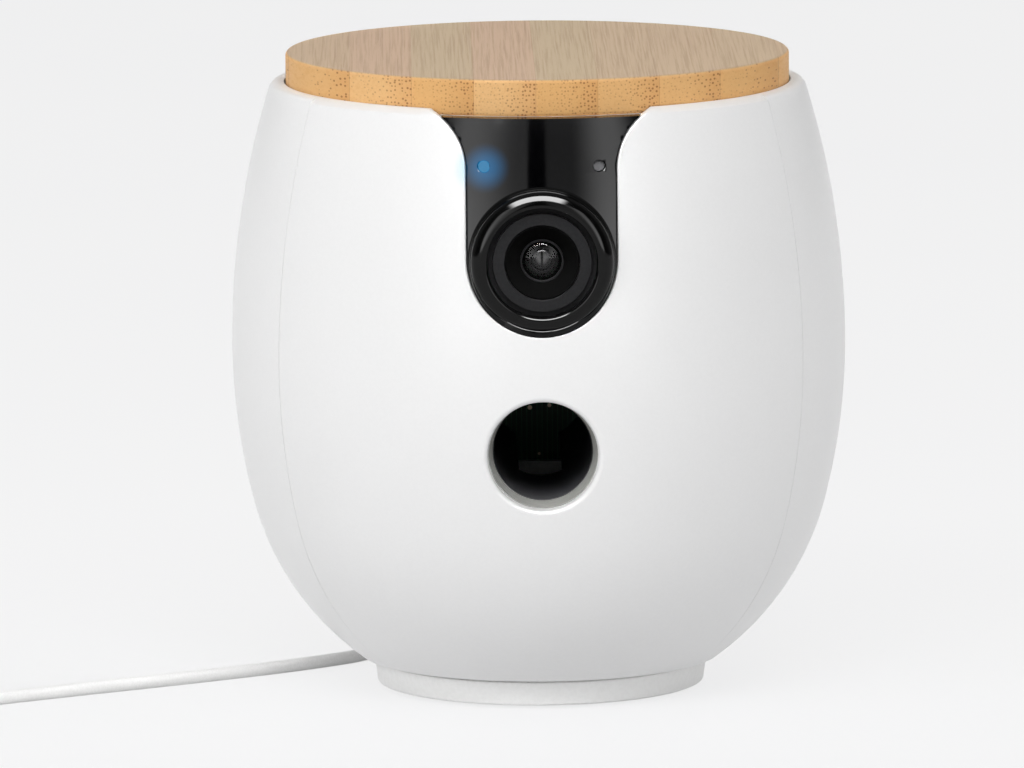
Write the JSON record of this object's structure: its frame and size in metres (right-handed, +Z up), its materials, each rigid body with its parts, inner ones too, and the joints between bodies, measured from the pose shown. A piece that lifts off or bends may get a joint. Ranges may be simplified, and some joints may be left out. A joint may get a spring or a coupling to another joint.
{
  "type": "treat tossing pet camera",
  "caption": "Round white pet camera with a wooden lid, black lens panel, treat hole, treat hopper and launcher, swivelling base and USB lead.",
  "frame": {"origin": "on the table, on the vertical axis of the round body and base", "axes": "+Z up, -Y towards the front with the lens and the treat hole, +X to the viewer's right"},
  "size_m": [0.2575, 0.1756, 0.1457],
  "materials": {
    "shell_plastic": "satin white moulded plastic",
    "base_plastic": "satin white moulded plastic",
    "rubber_foot": "matt",
    "steel": "plain",
    "inner_plastic": "moulded grey plastic",
    "inner_white": "moulded pale plastic",
    "gear_plastic": "acetal",
    "board": "solder mask",
    "socket_metal": "tinned",
    "panel_black": "deep gloss",
    "bezel_black": "deep gloss",
    "ring_grey": "satin",
    "lens_glass": "coated",
    "barrel_black": "anodised look",
    "led_clear": "clear",
    "light_blue": "light pipe",
    "mesh_metal": "fine mesh",
    "barrel_grey": "satin",
    "bronze": "sintered",
    "pad_rubber": "soft",
    "motor_can": "plated",
    "lid_wood": "clear finish, end grain pattern",
    "seal_rubber": "translucent silicone",
    "speaker_black": "plain",
    "button_grey": "satin",
    "cable_white": "smooth jacket",
    "plug_white": "smooth"
  },
  "bodies": {
    "base": {"base_ring": "base_plastic", "base_plate": "base_plastic", "foot_ring": "rubber_foot", "base_screws": "steel", "sun_gear": "gear_plastic", "lower_race": "inner_white", "base_board": "board", "usb_socket": "socket_metal", "pivot_clip": "steel", "cable_plug": "plug_white", "power_cable": "cable_white", "cable_coil": "cable_white", "usb_plug": "plug_white"},
    "cage": {"bearing_cage": "inner_white", "bearing_balls": "steel"},
    "rotor": {"turntable": "inner_plastic", "upper_race": "inner_white", "swivel_motor": "motor_can", "front_shell": "shell_plastic", "rear_shell": "shell_plastic", "body_screws": "steel", "camera_panel": "panel_black", "lens_bezel": "bezel_black", "lens_ring": "ring_grey", "front_lens": "lens_glass", "inner_lens": "lens_glass", "lens_barrel": "barrel_black", "camera_board": "board", "camera_housing": "barrel_black", "infrared_board": "board", "infrared_leds": "led_clear", "sensor_board": "board", "status_light": "light_blue", "microphone_mesh": "mesh_metal", "launcher_frame": "inner_plastic", "launch_bushes": "bronze", "drop_chute": "barrel_grey", "treat_spout": "barrel_grey", "launch_barrel": "barrel_grey", "motor_bracket": "inner_plastic", "launch_motor": "motor_can", "wheel_housing": "inner_plastic", "wheel_motor": "motor_can", "hopper_bowl": "inner_white", "main_board": "board", "speaker": "speaker_black", "button_switch": "board"},
    "swivel_drive": {"swivel_pinion": "gear_plastic"},
    "launcher": {"launch_shaft": "steel", "launch_finger": "gear_plastic", "finger_pad": "pad_rubber", "launch_gear": "gear_plastic"},
    "launch_drive": {"launch_pinion": "gear_plastic"},
    "wheel": {"treat_wheel": "gear_plastic"},
    "wheel_drive": {"wheel_pinion": "gear_plastic"},
    "lid": {"lid_board": "lid_wood", "lid_plug": "inner_white", "lid_seal": "seal_rubber", "lid_screws": "steel"},
    "button": {"pairing_button": "button_grey"}
  },
  "joints": [
    {"name": "body_rotation", "type": "hinge", "parent": "base", "child": "rotor", "pos_m": [0, 0, 0.008], "axis": [0, 0, 1], "range_deg": [-180, 180]},
    {"name": "cage_rotation", "type": "hinge", "parent": "base", "child": "cage", "pos_m": [0, 0, 0.005], "axis": [0, 0, 1], "range_deg": [-90, 90]},
    {"name": "swivel_pinion_spin", "type": "hinge", "parent": "rotor", "child": "swivel_drive", "pos_m": [-0.018, 0, 0.005], "axis": [0, 0, 1], "range_deg": [-720, 720]},
    {"name": "launcher_spin", "type": "hinge", "parent": "rotor", "child": "launcher", "pos_m": [0, 0.004, 0.04], "axis": [1, 0, 0], "continuous": true},
    {"name": "launch_pinion_spin", "type": "hinge", "parent": "rotor", "child": "launch_drive", "pos_m": [0.0186, 0.01973, 0.05101], "axis": [1, 0, 0], "continuous": true},
    {"name": "treat_wheel_spin", "type": "hinge", "parent": "rotor", "child": "wheel", "pos_m": [0, 0.02, 0.087], "axis": [0, 0, 1], "continuous": true},
    {"name": "wheel_pinion_spin", "type": "hinge", "parent": "rotor", "child": "wheel_drive", "pos_m": [-0.03014, 0.02808, 0.084], "axis": [0, 0, 1], "continuous": true},
    {"name": "lid_lift", "type": "slide", "parent": "rotor", "child": "lid", "axis": [0, 0, 1], "range_m": [0, 0.045]},
    {"name": "button_press", "type": "slide", "parent": "rotor", "child": "button", "axis": [0, -1, 0], "range_m": [0, 0.0008], "stiffness_N_per_m": 400}
  ],
  "couplings": [
    {"joint": "cage_rotation", "follows": "body_rotation", "ratio": 0.5},
    {"joint": "swivel_pinion_spin", "follows": "body_rotation", "ratio": 4},
    {"joint": "launch_pinion_spin", "follows": "launcher_spin", "ratio": -3},
    {"joint": "wheel_pinion_spin", "follows": "treat_wheel_spin", "ratio": -5.5}
  ]
}
